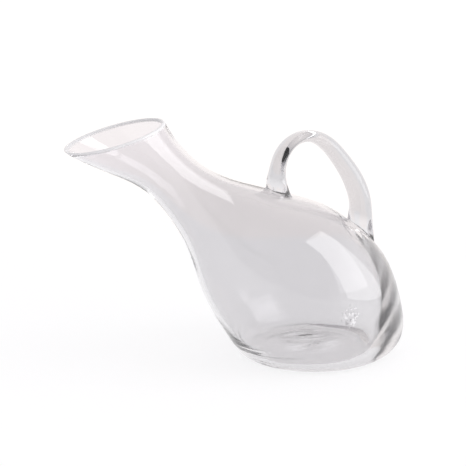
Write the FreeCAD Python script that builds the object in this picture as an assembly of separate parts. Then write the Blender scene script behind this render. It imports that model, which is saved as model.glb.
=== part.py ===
import FreeCAD, Part
import math
import os

# A blown glass decanter that lies back on its foot: a slanting vessel with a flared neck,
# an oval pouring mouth, a heavy base and a solid loop handle on its back.
# Millimetres. X runs from the mouth (-X) to the back (+X), Z is up and Y = 0 is the plane
# of symmetry. The foot stands on Z = 0. The tables below count X from near the middle of
# the foot, and the finished part is moved so that X = 0 is the middle of its length.

# Overall sizes. The tables are drawn for the drawn sizes and stretched to these.
overall_length = 285.0
overall_width = 142.0
overall_height = 206.0
drawn_length = 285.0
drawn_width = 142.0
drawn_height = 206.0

wall = 3.3
floor_thickness = 5.0

# The outside is a tube of ovals from the mouth down to the foot. Each oval has a front
# point and a back point (x, z) in the plane of symmetry and a half width across it.
# more: glass added to the wall at the front point, the side and the back point.
# lift: how much of the floor's thickness the cavity's front and back points are raised by.
ovals = [
    dict(name="rim", front=(-206.5, 186.0), back=(-127.0, 205.8), wide=32.0, more=(-0.5, -0.5, -0.5), lift=(0, 0)),
    dict(name="flare", front=(-183.5, 172.5), back=(-122.5, 197.5), wide=29.6, more=(-0.1, -0.2, -0.1), lift=(0, 0)),
    dict(name="throat", front=(-149.5, 155.5), back=(-111.3, 182.3), wide=25.4, more=(0, 0, 0), lift=(0, 0)),
    dict(name="neck", front=(-121.5, 126.5), back=(-84.8, 160.2), wide=25.0, more=(0.1, 0.1, 0.1), lift=(0, 0)),
    dict(name="shoulder", front=(-104.0, 95.0), back=(-47.3, 145.3), wide=37.5, more=(0.5, 0.4, 0.5), lift=(0, 0)),
    dict(name="breast", front=(-90.5, 55.8), back=(-7.2, 132.9), wide=56.3, more=(0.6, 0.5, 0.6), lift=(0, 0)),
    dict(name="belly", front=(-70.2, 19.8), back=(34.6, 110.0), wide=69.7, more=(0.9, 0.6, 0.7), lift=(0, 0)),
    dict(name="haunch", front=(-66.2, 13.2), back=(60.5, 83.8), wide=71.0, more=(1.3, 1.3, 4.2), lift=(0.17, 0)),
    dict(name="heel", front=(-62.0, 8.0), back=(76.0, 45.6), wide=69.4, more=(1.6, 2.6, 8.6), lift=(0.43, 0)),
    dict(name="sole", front=(-60.8, 4.0), back=(79.8, 19.9), wide=65.0, more=(2.0, 3.2, 12.4), lift=(0.68, 0.35)),
    dict(name="foot", front=(-60.0, 0.0), back=(62.0, 0.0), wide=62.5, more=(2.6, 3.0, 9.0), lift=(1, 1)),
]

rim_rounding = 0.6
foot_rounding = 15.0
steep_share = 2.42  # found by trial: the foot's rounding fits up to this share of its steep front wall
floor_rounding = 14.0
join_rounding = 3.0  # where the handle runs into the back of the vessel

# Shallow hollow under the foot, so that the vessel stands on a ring.
punt_diameter = 80.0
punt_depth = 1.2

# Solid loop handle: ovals along its middle line, thick in the plane of symmetry and wide
# across it. The first and the last lie inside the wall of the vessel.
handle = [
    dict(name="front root", x=-33.0, z=135.0, thick=27.0, wide=25.0),
    dict(name="front foot", x=-31.0, z=145.5, thick=17.5, wide=21.0),
    dict(name="front leg", x=-30.2, z=156.5, thick=12.6, wide=18.5),
    dict(name="front bend", x=-26.2, z=170.0, thick=10.8, wide=18.0),
    dict(name="front top", x=-18.0, z=179.5, thick=8.8, wide=18.0),
    dict(name="top", x=-4.5, z=183.4, thick=9.0, wide=18.5),
    dict(name="back top", x=9.5, z=178.6, thick=12.0, wide=19.5),
    dict(name="back bend", x=24.0, z=164.2, thick=14.0, wide=20.5),
    dict(name="back leg", x=35.8, z=147.5, thick=16.0, wide=21.5),
    dict(name="back knee", x=43.2, z=131.0, thick=17.2, wide=22.0),
    dict(name="back ankle", x=45.2, z=117.5, thick=17.8, wide=23.0),
    dict(name="back foot", x=42.5, z=106.0, thick=20.0, wide=25.5),
    dict(name="back root", x=35.0, z=93.0, thick=26.0, wide=30.0),
]

middle_of_length = -63.7
curve_points = 24


def stretched(x, z):
    return (x * overall_length / drawn_length, z * overall_height / drawn_height)


def outside(s):
    """The oval's front point, back point and half width."""
    return stretched(*s["front"]), stretched(*s["back"]), s["wide"] * overall_width / drawn_width


def inside(s):
    """The cavity's oval in the same plane, moved in by the glass and up by the floor."""
    front, back, wide = outside(s)
    deep = math.dist(front, back)
    run = ((back[0] - front[0]) / deep, (back[1] - front[1]) / deep)
    at_front, at_side, at_back = (wall + more for more in s["more"])
    up_front, up_back = (floor_thickness * share for share in s["lift"])
    new_front = (front[0] + at_front * run[0], front[1] + at_front * run[1] + up_front)
    new_back = (back[0] - at_back * run[0], back[1] - at_back * run[1] + up_back)
    return new_front, new_back, wide - at_side


def closed_curve(front, back, wide):
    """A smooth oval through the front point, both sides and the back point."""
    points = []
    for step in range(curve_points):
        turn = 2 * math.pi * step / curve_points
        x = (front[0] + back[0]) / 2 + (back[0] - front[0]) / 2 * math.cos(turn)
        z = (front[1] + back[1]) / 2 + (back[1] - front[1]) / 2 * math.cos(turn)
        points.append(FreeCAD.Vector(x, wide * math.sin(turn), z))
    curve = Part.BSplineCurve()
    curve.interpolate(Points=points, PeriodicFlag=True)
    return Part.Wire([curve.toShape()])


def tube(rings):
    return Part.makeLoft([closed_curve(*ring) for ring in rings], True, False)


def rounded_end(solid, radius):
    """The solid with the edge of its lowest flat face rounded."""
    low = min(e.BoundBox.ZMax for e in solid.Edges)
    return solid.makeFillet(radius, [e for e in solid.Edges if e.BoundBox.ZMax < low + 0.01])


def steepest_foot():
    """An estimate of the largest rounding that fits the foot, from how high its front stands steeply."""
    haunch, heel = (outside(s)[0] for s in ovals if s["name"] in ("haunch", "heel"))
    return steep_share * heel[1] * (haunch[1] - heel[1]) / math.dist(haunch, heel)


def outer_body():
    return rounded_end(tube([outside(s) for s in ovals]), min(foot_rounding, steepest_foot()))


def cavity():
    """The space inside, carried a little past the rim so that it cuts the mouth open."""
    rings = [inside(s) for s in ovals]
    rim, flare = rings[0], rings[1]
    past = 0.25
    front = tuple(a + past * (a - b) for a, b in zip(rim[0], flare[0]))
    back = tuple(a + past * (a - b) for a, b in zip(rim[1], flare[1]))
    beyond = (front, back, rim[2] + past * (rim[2] - flare[2]))
    return rounded_end(tube([beyond] + rings), floor_rounding)


def loop_handle():
    middles = [stretched(h["x"], h["z"]) for h in handle]
    rings = []
    for n, h in enumerate(handle):
        before = middles[max(n - 1, 0)]
        after = middles[min(n + 1, len(handle) - 1)]
        half = h["thick"] / 2 / math.dist(before, after)
        out_x = half * (before[1] - after[1])
        out_z = half * (after[0] - before[0])
        x, z = middles[n]
        rings.append(((x - out_x, z - out_z), (x + out_x, z + out_z), h["wide"] / 2))
    return tube(rings)


def body_with_handle():
    """Both fused into one, with the two seams of the handle's feet rounded."""
    glass = outer_body().fuse(loop_handle())
    lowest = stretched(0, handle[-1]["z"])[1]
    seams = []
    for e in glass.Edges:
        box = e.BoundBox
        if box.ZMin > lowest and box.XMin > 2 * stretched(handle[0]["x"], 0)[0] and box.YLength > 10:
            seams.append(e)
    return glass.makeFillet(join_rounding, seams)


def rounded_rim(glass):
    """Both edges of the flat top of the mouth rounded."""
    front, back, wide = outside(ovals[0])
    edges = [e for e in glass.Edges if e.BoundBox.YLength > wide and e.BoundBox.ZMax > back[1] - 2]
    return glass.makeFillet(rim_rounding, edges)


def punt():
    """A ball that reaches as wide and as high as the hollow under the foot."""
    half = punt_diameter / 2
    radius = (half * half + punt_depth * punt_depth) / (2 * punt_depth)
    front, back, wide = outside(ovals[-1])
    middle = FreeCAD.Vector((front[0] + back[0]) / 2, 0, punt_depth - radius)
    return Part.makeSphere(radius, middle, FreeCAD.Vector(1, 0, 0))


def decanter():
    glass = rounded_rim(body_with_handle().cut(cavity())).cut(punt())
    return glass.translated(FreeCAD.Vector(-stretched(middle_of_length, 0)[0], 0, 0))


os.makedirs("parts", exist_ok=True)
shape = decanter()
solid = shape.Solids[0]
print("solids", len(shape.Solids), "valid", solid.isValid(), "volume cm3", round(solid.Volume / 1000, 1))
solid.exportStep("parts/decanter.step")
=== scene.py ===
import bpy
import bmesh
import math
import numpy as np
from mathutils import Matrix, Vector


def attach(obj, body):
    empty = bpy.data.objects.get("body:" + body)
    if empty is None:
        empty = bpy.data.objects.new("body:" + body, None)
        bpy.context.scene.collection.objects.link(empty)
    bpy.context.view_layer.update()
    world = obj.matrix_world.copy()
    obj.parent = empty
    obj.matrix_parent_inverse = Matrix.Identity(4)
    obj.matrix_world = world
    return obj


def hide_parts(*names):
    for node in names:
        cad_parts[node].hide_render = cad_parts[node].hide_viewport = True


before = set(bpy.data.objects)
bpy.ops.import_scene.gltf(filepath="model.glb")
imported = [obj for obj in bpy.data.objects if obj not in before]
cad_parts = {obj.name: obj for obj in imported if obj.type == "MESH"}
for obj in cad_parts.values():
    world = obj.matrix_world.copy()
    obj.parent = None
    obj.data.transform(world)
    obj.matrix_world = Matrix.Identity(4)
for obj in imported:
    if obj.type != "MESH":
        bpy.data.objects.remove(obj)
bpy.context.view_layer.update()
scene = bpy.context.scene
scene.view_settings.view_transform = "Standard"
for bounces in ("glossy_bounces", "transmission_bounces", "max_bounces"):
    setattr(scene.cycles, bounces, 32)     # light turns often in thick glass

mm = 0.001

eyeSettings = {
    "azimuth": -22.0,                      # degrees, 0 looks along +Y
    "elevation": 15.0,
    "lookAt": (-0.0048, 0.0, 0.1088),
    "distance": 1.2025,
    "lens": 115.9,
}


def makeEye(s):
    turn, lift = math.radians(s["azimuth"]), math.radians(s["elevation"])
    back = Vector((math.sin(turn) * math.cos(lift), -math.cos(turn) * math.cos(lift), math.sin(lift)))
    data = bpy.data.cameras.new("eye")
    data.lens = s["lens"]
    data.sensor_width = 36.0
    eye = bpy.data.objects.new("eye", data)
    eye.location = Vector(s["lookAt"]) + back * s["distance"]
    eye.rotation_euler = (math.pi / 2 - lift, 0.0, turn)
    scene.collection.objects.link(eye)
    scene.camera = eye


makeEye(eyeSettings)
print("camera set")


class Wire:                                # a shader socket that takes part in sums
    def __init__(self, bench, socket):
        self.bench = bench
        self.socket = socket

    def __add__(self, other):
        return self.bench.sum("ADD", self, other)

    __radd__ = __add__

    def __sub__(self, other):
        return self.bench.sum("SUBTRACT", self, other)

    def __rsub__(self, other):
        return self.bench.sum("SUBTRACT", other, self)

    def __mul__(self, other):
        return self.bench.sum("MULTIPLY", self, other)

    __rmul__ = __mul__


class Bench:                               # the node tree of one material, or of the world
    def __init__(self, owner):
        owner.use_nodes = True
        self.tree = owner.node_tree
        self.tree.nodes.clear()

    def node(self, kind, settings, sockets, out=0):
        made = self.tree.nodes.new(kind)
        for name, value in settings.items():
            setattr(made, name, value)
        for name, value in sockets.items():
            if isinstance(value, Wire):
                self.tree.links.new(value.socket, made.inputs[name])
            else:
                made.inputs[name].default_value = value
        return Wire(self, made.outputs[out]) if made.outputs else made

    def sum(self, operation, a, b):
        return self.node("ShaderNodeMath", {"operation": operation}, {0: a, 1: b})

    def ramp(self, value, low, high, start=0.0, end=1.0):
        return self.node("ShaderNodeMapRange", {"interpolation_type": "SMOOTHSTEP"},
                         {"Value": value, "From Min": low, "From Max": high, "To Min": start, "To Max": end})

    def blend(self, share, one, other):
        return self.node("ShaderNodeMix", {"data_type": "RGBA"}, {0: share, 6: one, 7: other}, 2)


vesselShape = {
    "ovals": [                             # front (x, z), back (x, z) and half width, mm, from rim to foot
        ((-206.5, 186.0), (-127.0, 205.8), 32.0),
        ((-183.5, 172.5), (-122.5, 197.5), 29.6),
        ((-149.5, 155.5), (-111.3, 182.3), 25.4),
        ((-121.5, 126.5), (-84.8, 160.2), 25.0),
        ((-104.0, 95.0), (-47.3, 145.3), 37.5),
        ((-90.5, 55.8), (-7.2, 132.9), 56.3),
        ((-70.2, 19.8), (34.6, 110.0), 69.7),
        ((-66.2, 13.2), (60.5, 83.8), 71.0),
        ((-62.0, 8.0), (76.0, 45.6), 69.4),
        ((-60.8, 4.0), (79.8, 19.9), 65.0),
        ((-60.0, 0.0), (62.0, 0.0), 62.5),
    ],
    "wall": 3.3,
    "more": [                              # glass added to the wall at the front, the side and the back
        (-0.5, -0.5, -0.5),
        (-0.1, -0.2, -0.1),
        (0.0, 0.0, 0.0),
        (0.1, 0.1, 0.1),
        (0.5, 0.4, 0.5),
        (0.6, 0.5, 0.6),
        (0.9, 0.6, 0.7),
        (1.3, 1.3, 4.2),
        (1.6, 2.6, 8.6),
        (2.0, 3.2, 12.4),
        (2.6, 3.0, 9.0),
    ],
    "floorThickness": 5.0,
    "lift": [                              # share of the floor's thickness at the front and the back
        (0, 0), (0, 0), (0, 0), (0, 0), (0, 0), (0, 0), (0, 0), (0.17, 0), (0.43, 0), (0.68, 0.35), (1, 1),
    ],
    "middleOfLength": -63.7,
    "segments": 48,
    "crowding": 0.35,                      # how much closer the segments lie at the back than at the sides
    "footRounding": 15.0,
    "floorRounding": 14.0,
    "puntRadius": 40.0,
    "puntDepth": 1.2,
    "outerRuns": [                         # length along the back from the rim, mm, and rows up to there
        (4.5, 2), (107.0, 16), (133.0, 4), (190.0, 9), (223.0, 6), (274.0, 8),
    ],
    "outerFan": [                          # heights of the front and the back, mm, down to the level rows
        (7.3, 35.0), (7.15, 28.5), (7.0, 22.0), (6.85, 16.0), (6.7, 11.0),
    ],
    "outerLevels": (6.55, 4.4, 2.5, 1.1, 0.3, 0.0),  # level rows, mm over the ground
    "puntShares": (1.05, 1.015, 0.97, 0.85, 0.65, 0.44, 0.24, 0.08),  # rows under the foot
    "innerRuns": [(4.5, 2), (107.0, 13), (190.0, 10), (262.0, 9)],
    "innerFan": [(12.3, 36.0), (12.1, 29.0), (11.9, 22.5), (11.7, 16.5)],
    "innerLevels": (5.5, 3.4, 1.8, 0.7, 0.1, 0.0),  # level rows over the glass floor
    "floorShares": (0.85, 0.66, 0.46, 0.26, 0.08),
}

loopShape = {
    "ovals": [                             # x, z of the middle line, thickness in the plane, width across, mm
        (-33.0, 135.0, 27.0, 25.0),
        (-31.0, 145.5, 17.5, 21.0),
        (-30.2, 156.5, 12.6, 18.5),
        (-26.2, 170.0, 10.8, 18.0),
        (-18.0, 179.5, 8.8, 18.0),
        (-4.5, 183.4, 9.0, 18.5),
        (9.5, 178.6, 12.0, 19.5),
        (24.0, 164.2, 14.0, 20.5),
        (35.8, 147.5, 16.0, 21.5),
        (43.2, 131.0, 17.2, 22.0),
        (45.2, 117.5, 17.8, 23.0),
        (42.5, 106.0, 20.0, 25.5),
        (35.0, 93.0, 26.0, 30.0),
    ],
    "first": 12.5,                         # length along the middle line where the free rows start, mm
    "last": 28.0,                          # and how far before its end they stop
    "rows": 24,
    "rootInset": 0.14,                     # how far in from its patch each foot of the handle starts
    "frontShares": (0.3,),                 # rings between the foot and the free rows
    "backShares": (0.35, 0.75),
    "frontRoot": (19, 3, 3),               # outer row, rows long and half the segments wide
    "backRoot": (32, 5, 2),
}


def throughPoints(places, values):         # smooth curve through the values: a function of the place
    places, values = np.array(places, float), np.array(values, float)
    count = len(places)
    gap = np.diff(places)
    rise = np.diff(values, axis=0) / gap[:, None]
    grid = np.zeros((count, count))
    side = np.zeros_like(values)
    grid[0, :3] = gap[1], -gap[0] - gap[1], gap[0]  # the end pieces bend on as their neighbours do
    grid[-1, -3:] = gap[-1], -gap[-2] - gap[-1], gap[-2]
    for k in range(1, count - 1):
        grid[k, k - 1:k + 2] = gap[k - 1], 2 * (gap[k - 1] + gap[k]), gap[k]
        side[k] = 6 * (rise[k] - rise[k - 1])
    bend = np.linalg.solve(grid, side)

    def at(place):
        k = int(np.clip(np.searchsorted(places, place) - 1, 0, count - 2))
        g, a, b = gap[k], places[k + 1] - place, place - places[k]
        return ((bend[k] * a ** 3 + bend[k + 1] * b ** 3) / (6 * g)
                + (values[k] / g - bend[k] * g / 6) * a + (values[k + 1] / g - bend[k + 1] * g / 6) * b)

    return at


class Skin:                                # one side of the vessel's wall, as ovals from the rim down
    def __init__(self, ovals, floor, rounding):
        values = [(*front, *back, wide) for front, back, wide in ovals]
        steps = [0.0]
        for a, b in zip(values, values[1:]):
            steps.append(steps[-1] + (math.dist(a[:2], b[:2]) + math.dist(a[2:4], b[2:4])) / 2)
        self.curve = throughPoints(steps, values)
        self.end = steps[-1]
        self.floor = floor
        self.rounding = rounding
        self.edges = {}
        self.fine = [self.end * k / 1500 for k in range(1501)]
        walk = [0.0]
        backs = [self.curve(t)[2:4] for t in self.fine]
        for a, b in zip(backs, backs[1:]):
            walk.append(walk[-1] + math.dist(a, b))
        self.walk = walk

    def oval(self, length):                # at this length along the back
        v = self.curve(float(np.interp(length, self.walk, self.fine)))
        return self.low(v[1], v[3]) if v[1] < self.floor + self.rounding else v

    def reach(self, height, side):         # x of the front or the back, or the half width, near the foot
        low, high = self.end * 0.6, self.end
        level = {"front": lambda v: v[1], "back": lambda v: v[3], "side": lambda v: (v[1] + v[3]) / 2}[side]
        for step in range(40):
            middle = (low + high) / 2
            if level(self.curve(middle)) > height:
                low = middle
            else:
                high = middle
        v = self.curve(low)
        return {"front": v[0], "back": v[2], "side": v[4]}[side]

    def fitEdge(self, side):               # the middle of the foot's rounding, and how high it reaches
        r = self.rounding
        sign = -1 if side == "front" else 1
        wall = [(sign * self.reach(self.floor + up, side), up) for up in np.linspace(0.01, 1.6 * r, 70)]
        low, high = wall[0][0] - 3 * r, wall[0][0]
        for step in range(30):
            middle = (low + high) / 2
            touch = min((math.dist((middle, r), w), w[1]) for w in wall)
            if touch[0] > r:
                low = middle
            else:
                high = middle
        return middle, min(touch[1], r)

    def rounded(self, height, side):       # the same with the foot's edge rounded
        if side not in self.edges:
            self.edges[side] = self.fitEdge(side)
        middle, reachUp = self.edges[side]
        up, r = height - self.floor, self.rounding
        if up > reachUp:
            return self.reach(height, side)
        return (-1 if side == "front" else 1) * (middle + math.sqrt(max(0.0, r * r - (r - up) ** 2)))

    def low(self, frontHeight, backHeight):  # an oval near the foot
        front, back = self.rounded(frontHeight, "front"), self.rounded(backHeight, "back")
        return (front, frontHeight, back, backHeight, self.rounded((frontHeight + backHeight) / 2, "side"))


def insideOvals(s):
    rows = []
    for (front, back, wide), more, lift in zip(s["ovals"], s["more"], s["lift"]):
        deep = math.dist(front, back)
        run = ((back[0] - front[0]) / deep, (back[1] - front[1]) / deep)
        atFront, atSide, atBack = (s["wall"] + m for m in more)
        upFront, upBack = (s["floorThickness"] * share for share in lift)
        rows.append(((front[0] + atFront * run[0], front[1] + atFront * run[1] + upFront),
                     (back[0] - atBack * run[0], back[1] - atBack * run[1] + upBack), wide - atSide))
    return rows


def placeRing(ring, oval, s):              # puts a ring's vertices on an oval, the first at the back
    frontX, frontZ, backX, backZ, wide = oval
    count = len(ring)
    for k, v in enumerate(ring):
        even = 2 * math.pi * k / count
        turn = even - s["crowding"] * math.sin(even)
        step = 2 * math.pi / count * (1 - s["crowding"] * math.cos(even))
        grow = 3 / (2 + math.cos(step))    # a subdivided ring draws in a little
        along, across = math.cos(turn) * grow, math.sin(turn) * grow
        v.co = ((frontX + backX) / 2 + (backX - frontX) / 2 * along - s["middleOfLength"], wide * across,
                (frontZ + backZ) / 2 + (backZ - frontZ) / 2 * along)


def ringEdges(bm, ring):
    return [bm.edges.get((a, b)) for a, b in zip(ring, ring[1:] + ring[:1])]


def pulled(bm, ring):                      # extrudes a ring and gives the new one in the same order
    made = bmesh.ops.extrude_edge_only(bm, edges=ringEdges(bm, ring))
    fresh = set(v for v in made["geom"] if isinstance(v, bmesh.types.BMVert))
    return [next(e.other_vert(v) for e in v.link_edges if e.other_vert(v) in fresh) for v in ring]


def rowPlaces(runs):
    places, start = [], 0.0
    for end, count in runs:
        places += [start + (end - start) * (k + 1) / count for k in range(count)]
        start = end
    return places


def buildVessel(s):
    bm = bmesh.new()
    outer = Skin(s["ovals"], 0.0, s["footRounding"])
    inner = Skin(insideOvals(s), s["floorThickness"], s["floorRounding"])
    rim = bmesh.ops.create_circle(bm, segments=s["segments"], radius=1.0)["verts"]
    rim.sort(key=lambda v: math.atan2(v.co.y, v.co.x) % (2 * math.pi))
    placeRing(rim, outer.oval(0.0), s)
    rows = [rim]
    for place in rowPlaces(s["outerRuns"]):
        rows.append(pulled(bm, rows[-1]))
        placeRing(rows[-1], outer.oval(place), s)
    for heights in s["outerFan"] + [(h, h) for h in s["outerLevels"]]:
        rows.append(pulled(bm, rows[-1]))
        placeRing(rows[-1], outer.low(*heights), s)
    middle = (s["ovals"][-1][0][0] + s["ovals"][-1][1][0]) / 2
    punt = s["puntRadius"]
    for share in s["puntShares"]:
        rows.append(pulled(bm, rows[-1]))
        height = s["puntDepth"] * (1 - share * share) if share < 1 else 0.0
        placeRing(rows[-1], (middle - punt * share, height, middle + punt * share, height, punt * share), s)
    pole = (middle - s["middleOfLength"], 0, s["puntDepth"])
    bmesh.ops.pointmerge(bm, verts=pulled(bm, rows[-1]), merge_co=pole)
    outerRows = rows
    floor = s["floorThickness"]
    rows = [outerRows[0]]
    for place in [0.0] + rowPlaces(s["innerRuns"]):
        rows.append(pulled(bm, rows[-1]))
        placeRing(rows[-1], inner.oval(place), s)
    for heights in s["innerFan"] + [(floor + h, floor + h) for h in s["innerLevels"]]:
        rows.append(pulled(bm, rows[-1]))
        placeRing(rows[-1], inner.low(*heights), s)
    frontX, _, backX, _, wide = inner.low(floor, floor)
    for share in s["floorShares"]:
        rows.append(pulled(bm, rows[-1]))
        middleX = (frontX + backX) / 2
        placeRing(rows[-1], (middleX + (frontX - middleX) * share, floor,
                             middleX + (backX - middleX) * share, floor, wide * share), s)
    bmesh.ops.pointmerge(bm, verts=pulled(bm, rows[-1]), merge_co=(middleX - s["middleOfLength"], 0, floor))
    return bm, outerRows


def openRoot(bm, rows, root, atFront):     # takes out a patch of the wall and gives its border in order
    first, long, half = root
    last = first + long
    count = len(rows[0])

    def at(row, seg):
        return rows[row][seg % count]

    patch = []
    for r in range(first, last):
        for g in range(-half, half):
            patch += [f for f in at(r, g).link_faces
                      if at(r + 1, g + 1) in f.verts and at(r, g + 1) in f.verts and at(r + 1, g) in f.verts]
    near, far = (first, last) if atFront else (last, first)
    step = 1 if far > near else -1
    border = [at(near, g) for g in range(0, half + 1)]  # it starts on the handle's outside
    border += [at(r, half) for r in range(near + step, far + step, step)]
    border += [at(far, g) for g in range(half - 1, -half - 1, -1)]
    border += [at(r, -half) for r in range(far - step, near - step, -step)]
    border += [at(near, g) for g in range(-half + 1, 0)]
    bmesh.ops.delete(bm, geom=patch, context="FACES")
    return border


def buildLoop(bm, s, vessel, outerRows):
    front = openRoot(bm, outerRows, s["frontRoot"], True)
    back = openRoot(bm, outerRows, s["backRoot"], False)
    steps = [0.0]
    for a, b in zip(s["ovals"], s["ovals"][1:]):
        steps.append(steps[-1] + math.dist(a[:2], b[:2]))
    curve = throughPoints(steps, s["ovals"])
    first, last = s["first"], steps[-1] - s["last"]
    count = len(front)
    grow = 3 / (2 + math.cos(2 * math.pi / count))

    def section(place):                    # the handle's oval there, from its outside
        x, z, thick, wide = curve(place)
        ahead, behind = curve(place + 0.5), curve(place - 0.5)
        run = Vector((ahead[0] - behind[0], ahead[1] - behind[1])).normalized()
        points = []
        for n in range(count):
            turn = 2 * math.pi * n / count
            out = thick / 2 * grow * math.cos(turn)
            points.append(Vector((x - run.y * out - vessel["middleOfLength"],
                                  wide / 2 * grow * math.sin(turn), z + run.x * out)))
        return points

    def drawnIn(border):                   # the patch's border a little further in, still on the wall
        points = [v.co.copy() for v in border]
        middle = sum(points, Vector()) / count
        return [q.lerp(middle, s["rootInset"]) for q in points]

    def between(one, other, share):
        return [a.lerp(b, share) for a, b in zip(one, other)]

    frontFoot, backFoot = drawnIn(front), drawnIn(back)
    free = [section(first + (last - first) * k / (s["rows"] - 1)) for k in range(s["rows"])]
    rings = [frontFoot] + [between(frontFoot, free[0], share) for share in s["frontShares"]] + free
    rings += [between(free[-1], backFoot, share) for share in s["backShares"]] + [backFoot]
    ring = front
    for points in rings:
        ring = pulled(bm, ring)
        for v, place in zip(ring, points):
            v.co = place
    bmesh.ops.bridge_loops(bm, edges=ringEdges(bm, ring) + ringEdges(bm, back))


def makeObject(name, bm):
    mesh = bpy.data.meshes.new(name)
    bm.to_mesh(mesh)
    bm.free()
    made = bpy.data.objects.new(name, mesh)
    scene.collection.objects.link(made)
    return made


bm, outerRows = buildVessel(vesselShape)
buildLoop(bm, loopShape, vesselShape, outerRows)
bmesh.ops.recalc_face_normals(bm, faces=bm.faces)
bmesh.ops.scale(bm, vec=(mm, mm, mm), verts=bm.verts)
for f in bm.faces:
    f.smooth = True
openEdges = [e for e in bm.edges if len(e.link_faces) != 2]
print("glass shape", len(bm.verts), "vertices", len(bm.faces), "faces", len(openEdges), "open edges")
glassPiece = makeObject("decanterGlass", bm)
rounding = glassPiece.modifiers.new("smooth", "SUBSURF")
rounding.levels = rounding.render_levels = 2


glassLook = {
    # the body's grey is the glass's own tint with painted shade in it; the neck is lighter
    "bodyTintAndShade": (0.822, 0.815, 0.826, 1.0),
    "neckTint": (0.888, 0.878, 0.896, 1.0),
    "heelPaintedLight": (0.925, 0.920, 0.927, 1.0),  # painted light: the heel is painted lighter, for light that turns many times in the thick heel
    "heelFrom": 0.106,                     # m along the length
    "heelTo": 0.136,
    "heelHigh": (0.085, 0.125),
    "heelBlur": 0.20,
    "shadeFadeWay": (-0.2, 0.0, 1.0),           # painted shade: the darker body tint fades up along the neck
    "shadeFadeFrom": 0.138,                     # m along that way
    "shadeFadeTo": 0.224,
    "tintDrift": 0.006,                    # how much the tint wanders over the glass
    "ior": 1.50,
    "loopTintAndShade": (0.70, 0.693, 0.705, 1.0),  # the solid handle, painted darker: its own tint with painted shade
    "loopWay": (0.425, 0.0, 0.905),        # it lies past this far along this way, m
    "loopFrom": (0.144, 0.152),
    "rimSpot": (-0.1428, 0.0, 0.1860),     # a point of the mouth's plane, and the way that the mouth faces
    "rimWay": (-0.2418, 0.0, 0.9704),
    "rimDeep": (-0.0034, -0.0009),
    "rimShare": 0.95,
    "rimAndGlintColour": (0.88, 0.87, 0.89, 1.0),
    "pontilSpot": (0.0660, 0.0, 0.0),      # where the rod was broken off, under the foot
    "pontilReach": (0.016, 0.034),
    "pontilDeep": 0.0005,
    "pontilHaze": 0.3,
    "paintedStreakGlints": (0.99, 0.99, 1.0, 1.0),  # painted highlights: pale streaks there, standing in for glints
    "glintSpot": (0.0675, -0.0705, 0.0500),  # painted glints: a small cluster of pale opaque specks in the wall
    "glintReach": (0.004, 0.012),
    "glintShare": 0.9,
    "driftGrain": (18.0, (1.0, 1.0, 0.4), 1.0),  # scale, stretch and detail of each pattern
    "streakGrain": (62.0, (0.5, 1.8, 1.0), 3.0),
    "rippleGrain": (55.0, (0.45, 1.3, 1.0), 3.0),
    "waveGrain": (26.0, (1.0, 1.0, 0.55), 0.0),
    "scuffGrain": (420.0, (1.0, 1.0, 1.0), 4.0),
    "hazeGrain": (90.0, (0.5, 1.4, 1.0), 2.0),
    "glintGrain": (430.0, (1.0, 1.0, 1.0), 1.0),
    "streakCut": (0.50, 0.60),             # where each pattern starts and is full
    "scuffCut": (0.42, 0.62),
    "hazeCut": (0.5, 0.7),
    "glintCut": (0.58, 0.66),
    "baseHigh": (0.006, 0.010),            # m, the scar stays in the base
    "ringHigh": (0.00005, 0.0006),
    "loopStart": (0.005, 0.02),            # m along the length, past the neck
    "swirl": 0.00028,                      # height of the slow waves that blowing leaves, m
    "ringWear": 0.22,                      # roughness where the foot's ring rubs on tables
}


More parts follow.
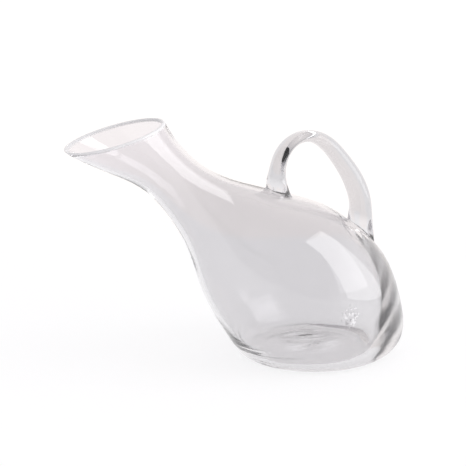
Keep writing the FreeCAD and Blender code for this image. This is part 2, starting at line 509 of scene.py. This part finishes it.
def glassMaterial(s):
    material = bpy.data.materials.new("clearGlass")
    bench = Bench(material)
    place = bench.node("ShaderNodeTexCoord", {}, {}, "Object")
    height = bench.node("ShaderNodeSeparateXYZ", {}, {0: place}, "Z")

    def noiseAt(scale, stretch, detail):
        spot = bench.node("ShaderNodeVectorMath", {"operation": "MULTIPLY"}, {0: place, 1: stretch})
        return bench.node("ShaderNodeTexNoise", {}, {"Vector": spot, "Scale": scale, "Detail": detail})

    def reachAlong(spot, way):
        return bench.node("ShaderNodeVectorMath", {"operation": "DOT_PRODUCT"}, {0: spot, 1: way}, "Value")

    def near(spot, reach):                 # full at the spot, nothing past the reach
        apart = bench.node("ShaderNodeVectorMath", {"operation": "DISTANCE"}, {0: place, 1: spot}, "Value")
        return bench.ramp(apart, *reach, 1.0, 0.0)

    drift = (noiseAt(*s["driftGrain"]) - 0.5) * s["tintDrift"]
    along = reachAlong(place, s["shadeFadeWay"])
    # painted shade: the body is painted darker than the neck
    colour = bench.blend(bench.ramp(along + drift, s["shadeFadeFrom"], s["shadeFadeTo"]), s["bodyTintAndShade"], s["neckTint"])
    length = bench.node("ShaderNodeSeparateXYZ", {}, {0: place}, "X")
    heel = bench.ramp(length, s["heelFrom"], s["heelTo"]) * bench.ramp(height, *s["heelHigh"], 1.0, 0.0)
    # painted light: the thick heel is painted lighter than the body
    colour = bench.blend(heel, colour, s["heelPaintedLight"])
    onLoop = bench.ramp(reachAlong(place, s["loopWay"]), *s["loopFrom"]) * bench.ramp(length, *s["loopStart"])
    # painted shade: the solid handle is painted darker than the body
    colour = bench.blend(onLoop, colour, s["loopTintAndShade"])
    scar = near(s["pontilSpot"], s["pontilReach"]) * bench.ramp(height, *s["baseHigh"], 1.0, 0.0)
    glintStreaks = bench.ramp(noiseAt(*s["streakGrain"]), *s["streakCut"]) * scar
    # painted highlights: pale streaks in the base
    colour = bench.blend(glintStreaks, colour, s["paintedStreakGlints"])
    ripples = noiseAt(*s["rippleGrain"]) * scar * s["pontilDeep"]
    waves = noiseAt(*s["waveGrain"]) * s["swirl"]
    bump = bench.node("ShaderNodeBump", {}, {"Height": ripples + waves, "Distance": 1.0}, "Normal")
    scuffs = bench.ramp(height, *s["ringHigh"], s["ringWear"], 0.0) * bench.ramp(
        noiseAt(*s["scuffGrain"]), *s["scuffCut"])
    haze = bench.ramp(noiseAt(*s["hazeGrain"]), *s["hazeCut"], 0.0, s["pontilHaze"])
    wear = scuffs + scar * haze + heel * s["heelBlur"]
    shader = bench.node("ShaderNodeBsdfPrincipled", {}, {
        "Base Color": colour, "Roughness": wear, "IOR": s["ior"], "Transmission Weight": 1.0, "Normal": bump})
    fromRim = bench.node("ShaderNodeVectorMath", {"operation": "SUBTRACT"}, {0: place, 1: s["rimSpot"]})
    deep = reachAlong(fromRim, s["rimWay"])
    # the pale rim's opaque shader, also used for the painted glints
    lipAndGlints = bench.node("ShaderNodeBsdfPrincipled", {}, {"Base Color": s["rimAndGlintColour"], "Roughness": 0.25})
    # painted glints: pale opaque specks mixed into the wall
    glints = near(s["glintSpot"], s["glintReach"]) * bench.ramp(noiseAt(*s["glintGrain"]), *s["glintCut"])
    paleRimAndGlints = bench.ramp(deep, *s["rimDeep"], 0.0, s["rimShare"]) + glints * s["glintShare"]
    mixed = bench.node("ShaderNodeMixShader", {}, {0: paleRimAndGlints, 1: shader, 2: lipAndGlints})
    bench.node("ShaderNodeOutputMaterial", {}, {"Surface": mixed})
    return material


glassPiece.data.materials.append(glassMaterial(glassLook))
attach(glassPiece, "root")
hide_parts("decanter")
print("glass done")


stageSettings = {
    "floorSize": 6.0,
    "paint": (0.96, 0.95, 0.96, 1.0),
    "nearTone": (1.045, 1.04, 1.05, 1.0),  # the floor as the camera and the glass see it
    "farTone": (1.09, 1.045, 1.03, 1.0),   # the sweep behind it
    "roomTone": (0.50, 0.49, 0.51, 1.0),   # the room on the other side, as the glass sees it
    "roomFade": (-0.35, 1.0),
    "roomAt": (-1.4, -0.15),               # m, where the floor turns to the room's tone
    "sweepTurn": -22.0,                    # degrees, the way the sweep runs off
    "sweepAt": (0.37, 0.41),               # m behind the middle
    "shadowShare": 0.2,                    # how much of the painted floor is left near the piece
    "shadowFade": (0.35, 0.8),             # m from the middle
    "worldLevel": 0.79,
    "boxPlace": (0.88, -0.515, 0.70),
    "boxSize": (0.80, 1.28),
    "boxPower": 7.3,
    "cardTurns": (-132.0, -58.0),          # degrees round the middle, from the view's own direction
    "cardReach": 0.9,
    "cardHeights": (0.21, 0.75),
    "cardColumns": 12,
    "cardTone": (0.02, 0.02, 0.02, 1.0),
}


def backgroundShare(bench):                # rays that show the plain white background
    seen = bench.node("ShaderNodeLightPath", {}, {}, "Is Camera Ray")
    glossy = bench.node("ShaderNodeLightPath", {}, {}, "Is Glossy Ray")
    through = bench.node("ShaderNodeLightPath", {}, {}, "Is Transmission Ray")
    total = seen + glossy + through
    total.socket.node.use_clamp = True
    return total


def makeWorld(s):
    world = bpy.data.worlds.new("studio")
    scene.world = world
    bench = Bench(world)
    way = bench.node("ShaderNodeTexCoord", {}, {}, "Generated")
    turn = math.radians(s["sweepTurn"])
    ahead = bench.node("ShaderNodeVectorMath", {"operation": "DOT_PRODUCT"},
                       {0: way, 1: (-math.sin(turn), math.cos(turn), 0.0)}, "Value")
    seen = bench.node("ShaderNodeLightPath", {}, {}, "Is Camera Ray")
    behind = bench.ramp(ahead, *s["roomFade"], 1.0, 0.0) * (1 - seen)
    tone = bench.blend(behind, s["farTone"], s["roomTone"])
    plain = bench.node("ShaderNodeBackground", {}, {"Color": (1, 1, 1, 1), "Strength": s["worldLevel"]})
    white = bench.node("ShaderNodeBackground", {}, {"Color": tone, "Strength": 1.0})
    mixed = bench.node("ShaderNodeMixShader", {}, {0: backgroundShare(bench), 1: plain, 2: white})
    bench.node("ShaderNodeOutputWorld", {}, {"Surface": mixed})


def makeFloor(s):
    bm = bmesh.new()
    bmesh.ops.create_grid(bm, x_segments=1, y_segments=1, size=s["floorSize"] / 2)
    floor = makeObject("floor", bm)
    material = bpy.data.materials.new("floorPaint")
    bench = Bench(material)
    place = bench.node("ShaderNodeTexCoord", {}, {}, "Object")
    turn = math.radians(s["sweepTurn"])
    away = bench.node("ShaderNodeVectorMath", {"operation": "DOT_PRODUCT"},
                      {0: place, 1: (-math.sin(turn), math.cos(turn), 0.0)}, "Value")
    far = bench.node("ShaderNodeVectorMath", {"operation": "LENGTH"}, {0: place}, "Value")
    tone = bench.blend(bench.ramp(away, *s["sweepAt"]), s["nearTone"], s["farTone"])
    seen = bench.node("ShaderNodeLightPath", {}, {}, "Is Camera Ray")
    tone = bench.blend(bench.ramp(away, *s["roomAt"], 1.0, 0.0) * (1 - seen), tone, s["roomTone"])
    share = bench.ramp(far, *s["shadowFade"], 1 - s["shadowShare"], 1.0) * backgroundShare(bench)
    paint = bench.node("ShaderNodeBsdfPrincipled", {}, {"Base Color": s["paint"], "Roughness": 0.9,
                                                        "Specular IOR Level": 0.0})
    glow = bench.node("ShaderNodeEmission", {}, {"Color": tone, "Strength": 1.0})
    mixed = bench.node("ShaderNodeMixShader", {}, {0: share, 1: paint, 2: glow})
    bench.node("ShaderNodeOutputMaterial", {}, {"Surface": mixed})
    floor.data.materials.append(material)


def makeBox(s):                            # the soft light at the right
    data = bpy.data.lights.new("softBox", "AREA")
    data.shape = "RECTANGLE"
    data.size, data.size_y = s["boxSize"]
    data.energy = s["boxPower"]
    lamp = bpy.data.objects.new("softBox", data)
    place = Vector(s["boxPlace"])
    lamp.location = place
    lamp.rotation_euler = Vector((-place.x, -place.y, 0.0)).to_track_quat("-Z", "Y").to_euler()
    lamp.visible_camera = False
    scene.collection.objects.link(lamp)


def makeCard(s):                           # a dark curved card at the left, seen only in the glass
    bm = bmesh.new()
    low, high = s["cardHeights"]
    start, end = s["cardTurns"]
    columns = []
    for k in range(s["cardColumns"] + 1):
        turn = math.radians(start + (end - start) * k / s["cardColumns"] - s["sweepTurn"])
        x, y = s["cardReach"] * math.sin(turn), s["cardReach"] * math.cos(turn)
        columns.append((bm.verts.new((x, y, low)), bm.verts.new((x, y, high))))
    for a, b in zip(columns, columns[1:]):
        bm.faces.new((a[0], b[0], b[1], a[1]))
    card = makeObject("darkCard", bm)
    material = bpy.data.materials.new("cardBlack")
    bench = Bench(material)
    shader = bench.node("ShaderNodeBsdfPrincipled", {}, {"Base Color": s["cardTone"], "Roughness": 0.9,
                                                         "Specular IOR Level": 0.0})
    bench.node("ShaderNodeOutputMaterial", {}, {"Surface": shader})
    card.data.materials.append(material)
    card.visible_camera = card.visible_diffuse = card.visible_shadow = False


makeWorld(stageSettings)
makeFloor(stageSettings)
makeBox(stageSettings)
makeCard(stageSettings)
print("stage done")
